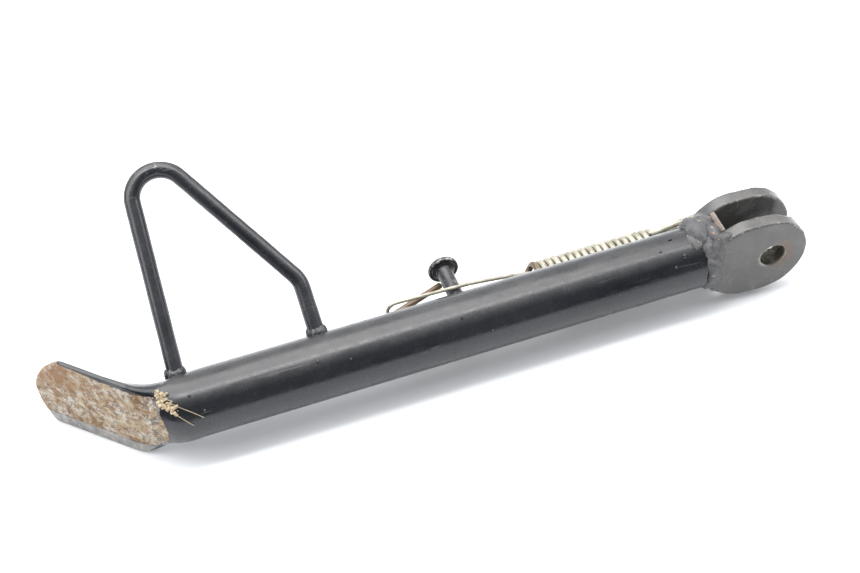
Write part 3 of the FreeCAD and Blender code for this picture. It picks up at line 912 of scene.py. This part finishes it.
def makeBand():
    # an ellipse carried along the band's smoothed line
    line = resample(np.array(weld["band"]) * mm, 90)
    for _ in range(12):
        line[1:-1] = (line[:-2] + line[1:-1] * 2 + line[2:]) / 4
    turn = np.linspace(0, 2 * math.pi, 64, endpoint=False)
    swell = 1 + 0.10 * lumps(line[:, :3], 3.4 * mm, 71)[:, None]
    grid = np.stack([line[:, :1] + line[:, 3:4] * np.cos(turn) * swell,
                     line[:, 1:2] + line[:, 4:] * np.sin(turn) * swell, line[:, 2:3] + 0 * turn], -1)
    return grid + 0.16 * mm * lumps(grid * (1.6, 1, 0.7), 2.4 * mm, 72, 24)[..., None]


def makeWelds():
    for name, (node, x) in weld["tang"].items():
        grid = beadGrid(tangPlace(x, weld["tangReach"]), tangOut, 3.2 * mm, 0.95 * mm, int(-x), 0.2,
                        sag=0.9 * mm, tall=2.3)
        makePiece(name, [grid], "leg", rodPaint, [node],
                  {"wear": 0.3 * highSpots(grid, 41)}, closeRows=True)
    grid = beadGrid(np.array(weld["post"]) * mm, (0, 1, 0), 3.4 * mm, 1.6 * mm, 57, sag=1.0 * mm)
    makePiece("postWeld", [grid], "leg", rodPaint, ["post_weld"],
              {"wear": 0.3 * highSpots(grid, 42)}, closeRows=True)
    # the collar between fork and tube, and what was built up over it
    collar = beadGrid(np.array(weld["collar"]) * mm, (1, 0, 0), 11.6 * mm, 3.1 * mm, 61, 0.12, 220, tall=1.05)
    flat = weld["collarFlat"] * mm
    across = collar[..., 1]
    collar[..., 1] = np.where(across > flat, flat + 0.28 * (across - flat), across)
    makePiece("forkWeld", [collar], "leg", weldPaint, ["fork_weld"],
              {"high": 0.8 * highSpots(collar, 43)}, closeRows=True)
    band = makeBand()
    makePiece("forkWeldBand", [band], "leg", weldPaint, (),
              {"high": 0.85 * highSpots(band, 44)})
    top = [blobGrid(np.array(place) * mm, np.array(halves) * mm, 80 + k, 0.07)
           for k, (place, halves) in enumerate(weld["top"])]
    # each lump's two end points come after its grid
    high = np.concatenate([np.append(highSpots(lump, 45), (0, 0)) for lump in top])
    makePiece("forkWeldTop", top, "leg", weldPaint, ["fork_weld_top"], {"high": high})


# distance from the pivot in mm, angle round the tube from the near side up, radius in mm
spatter = ((38.5, 55, 1.5), (43, 40, 0.9), (41, 95, 1.1), (47, 75, 0.7), (120.5, 25, 0.8),
           (131, 62, 0.9), (176, 48, 0.8), (188, 60, 1.0), (233, 35, 0.9), (237, 66, 0.8))


def makeSpatter():
    drops = []
    for k, (distance, angle, radius) in enumerate(spatter):
        turn = math.radians(angle)
        centre = np.array([-distance * mm, -tubeRadius * math.cos(turn), tubeRadius * math.sin(turn)])
        drops.append(blobGrid(centre, np.full(3, 0.7 * radius * mm), 90 + k, 0.08, 14, 20))
    makePiece("weldSpatter", drops, "leg", rodPaint, ["weld_spatter"])


# turned: distance from the tube's axis and radius, in mm, with a shallow ring in the head's inner face
post = {
    "x": -126,
    "profile": ((9, 3.2), (12, 3.25), (20, 3.2), (29.4, 3.2), (29.9, 3.4), (30.05, 3.8), (30.1, 4.6),
                (30.25, 4.75), (30.1, 4.9), (30.1, 5.7), (30.2, 6.05), (30.5, 6.3), (31.2, 6.4), (31.8, 6.35),
                (32.3, 6.1), (32.6, 5.6), (32.7, 4.9), (32.75, 3.4), (32.75, 1.2)),
    "around": 48,
}


def makePost():
    reach, radius = np.array(post["profile"]).T
    count = post["around"]
    turn = np.linspace(0, 2 * math.pi, count, endpoint=False)
    grid = np.stack([post["x"] + radius[:, None] * np.cos(turn), np.repeat(reach[:, None], count, 1),
                     radius[:, None] * np.sin(turn)], -1) * mm
    # the head's edge and the shank, where the springs rub, are worn
    worn = (radius > 5.9) * 0.55 + (reach > 12) * (reach < 29) * 0.35
    makePiece("springPost", [grid], "leg", blackPaint, ["spring_post"],
              {"wear": np.repeat(worn[:, None], count, 1)})


makeTang()
makeWelds()
makeSpatter()
makePost()
print("tang, welds and post made")


# ---- the two springs

# all in mm; each end's corners run from the coil outwards
axisY, axisZ = 19.1, -5.75
outer = {
    "wire": 1.35,
    "around": 22,
    "mean": 4.65,
    "coil": (-91.0, 3.0, 17.22, 10),  # start along X, pitch, turns, angle of the start from +Y towards +Z
    "brown": 0.9,  # how strongly the eye is painted brown
    "eye": ((-92.2, 23.3, -6.6), (-95.4, 20.6, -10.2), (-118, 15.2, -13.6), (-154, 15.2, -13.6),
            (-153.5, 18.6, -4.9), (-128.9, 27.6, -4.9)),
    "eyeBends": (3, 9, 4.4, 4.4),
    "hook": ((-37.7, 19.1, -1.1), (-32.2, 18.8, 0.6), (-19.7, 18.2, 2.6), (17.9, 14.4, 2.6),
             (17.9, 14.4, -14.1), (3.9, 15.4, -14.1)),
    "hookBends": (7, 12, 8.1, 8.1),
}
inner = {
    "wire": 0.75,
    "around": 18,
    "mean": 2.15,
    "coil": (-91.0, 2.59, 20, 90),
    "brown": 0.25,
    "eye": ((-92.6, 19.1, -3.6), (-98, 18.9, -1.9), (-120, 16.1, 4.15), (-154, 17.2, 4.15),
            (-154, 17.9, -4.15), (-128.5, 16.4, -4.15)),
    "eyeBends": (8, 20, 4.03, 4.03),
    "hook": ((-37.6, 19.1, -3.6), (-30.6, 18.8, -2.2), (-19.6, 17.2, -0.65), (13.6, 14.4, -0.65),
             (13.6, 14.4, -10.85), (3.6, 14.9, -10.85)),
    "hookBends": (8, 12, 4.95, 4.95),
}


def helixPath(spring):
    # x = start + pitch turns, y and z on a circle about the springs' axis
    start, pitch, turns, angle = spring["coil"]
    t = np.linspace(0, turns, int(turns * 44))
    swing = math.radians(angle) + 2 * math.pi * t
    return np.stack([start + pitch * t, axisY + spring["mean"] * np.cos(swing),
                     axisZ + spring["mean"] * np.sin(swing)], -1) * mm


def makeSpring(kind, spring):
    helix = helixPath(spring)
    wire = spring["wire"]
    grid = rodGrid(helix, wire * mm, (1, 0, 0), around=18)
    fromAxis = np.hypot(grid[..., 1] - axisY * mm, grid[..., 2] - axisZ * mm) / mm
    # painted shade: 1 where the wire faces the coil's axis, in the hollows between turns, 0 on the outer
    # crest
    coilShade = 1 - smooth(fromAxis, spring["mean"] - 0.35 * wire, spring["mean"] + 0.5 * wire)
    eyeEnd = 1 - smooth(grid[..., 0], -91 * mm, -87 * mm)
    coil = makePiece(kind + "Coil", [grid], None, wireFinish, [kind + "_spring_coil"],
                     {"grimeAndShade": coilShade, "brown": 0.8 * eyeEnd})
    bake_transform(coil)
    ends = (("eye", "spring", helix[0], spring["brown"]), ("hook", "spring_end", helix[-1], 0.25))
    for part, body, tip, brown in ends:
        corners = [np.array(corner) * mm for corner in spring[part]]
        path = roundedPath(corners, [bend * mm for bend in spring[part + "Bends"]], 0.35 * mm)
        # the wire begins where the coil ends, and the step between them is smoothed
        lead = tip + (path[0] - tip) * np.linspace(0, 1, 8, endpoint=False)[:, None]
        path = np.concatenate([lead, path])
        for _ in range(6):
            path[1:14] = (path[:13] + path[1:14] * 2 + path[2:15]) / 4
        grid = rodGrid(path, wire * mm, (0.1, 0.2, 1), around=spring["around"])
        tipRust = smooth(grid[..., 0], 4 * mm, 12 * mm) * 0.9
        makePiece(kind + part.capitalize(), [grid], body, wireFinish,
                  ["%s_spring_%s" % (kind, part)], {"brown": np.maximum(brown, tipRust)})


makeSpring("outer", outer)
makeSpring("inner", inner)
print("springs made")


# ---- dried mud and straw caught behind the foot's bend, and grease in the fork

# in mm
mud = {
    "line": ((-248.6, 1.4, 12.5), (-246.9, -3.2, 12.1), (-245.2, -6.6, 10.7), (-243.0, -9.8, 8.1)),
    "spread": (1.25, 0.8, 0.6),
    "crumbs": 96,
    "straws": (
        ((-245.4, -5.2, 12.0), (-241.6, -8.4, 10.8), (-237.4, -10.6, 8.4), (-234.0, -11.9, 5.4)),
        ((-246.0, -7.0, 11.0), (-243.2, -10.2, 9.0), (-240.6, -12.0, 6.6), (-238.2, -12.8, 3.6)),
        ((-248.6, -1.0, 13.0), (-246.2, -4.0, 13.0), (-243.2, -6.0, 12.2)),
    ),
}


def makeMud():
    # many small crumbs along a line round the tube's front, thickest in the middle
    random = np.random.default_rng(9)
    line = resample(np.array(mud["line"]) * mm, 60)
    crumbs = []
    for k in range(mud["crumbs"]):
        place = random.uniform(0, 1)
        middle = math.sin(math.pi * place) ** 0.6
        centre = line[int(place * 59)] + random.normal(0, 1, 3) * np.array(mud["spread"]) * mm * middle
        size = random.uniform(0.3, 0.75) * mm * (0.5 + 0.6 * middle)
        crumbs.append(blobGrid(centre, size * random.uniform(0.7, 1.3, 3), 110 + k, 0.16, 10, 14))
    makePiece("driedMud", crumbs, "leg", mudFinish)
    straws = []
    for straw in mud["straws"]:
        path = resample(np.array(straw) * mm, 40)
        for _ in range(30):
            path[1:-1] = (path[:-2] + path[1:-1] * 2 + path[2:]) / 4
        straws.append(rodGrid(path, 0.12 * mm, (0.1, 0.2, 1), around=8))
    makePiece("driedStraw", straws, "leg", mudFinish)


def makeGrease():
    # old grease squeezed out round the slot side of the near ear's hole
    lean = math.radians(ear["lean"])
    across = np.array([math.sin(lean), math.cos(lean), 0])
    grid = beadGrid(across * -(ear["gap"] / 2 - 0.2 * mm), across, 6.5 * mm, 1.7 * mm, 131, 0.1, tall=1.35)
    makePiece("boltGrease", [grid], "leg", greaseFinish, closeRows=True)


makeGrease()
makeMud()
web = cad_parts["fork_web"].data
web.materials.clear()
web.materials.append(webPaint)
print("mud and grease made, web painted")


# ---- floor

def makeFloor():
    mesh = bpy.data.meshes.new("floor")
    reach = 3.0
    corners = [(x * reach, y * reach, restZ) for x, y in ((-1, -1), (1, -1), (1, 1), (-1, 1))]
    mesh.from_pydata(corners, [], [(0, 1, 2, 3)])
    thing = bpy.data.objects.new("floor", mesh)
    bpy.context.scene.collection.objects.link(thing)
    mesh.materials.append(makeFloorFinish())


makeFloor()
print("floor made")
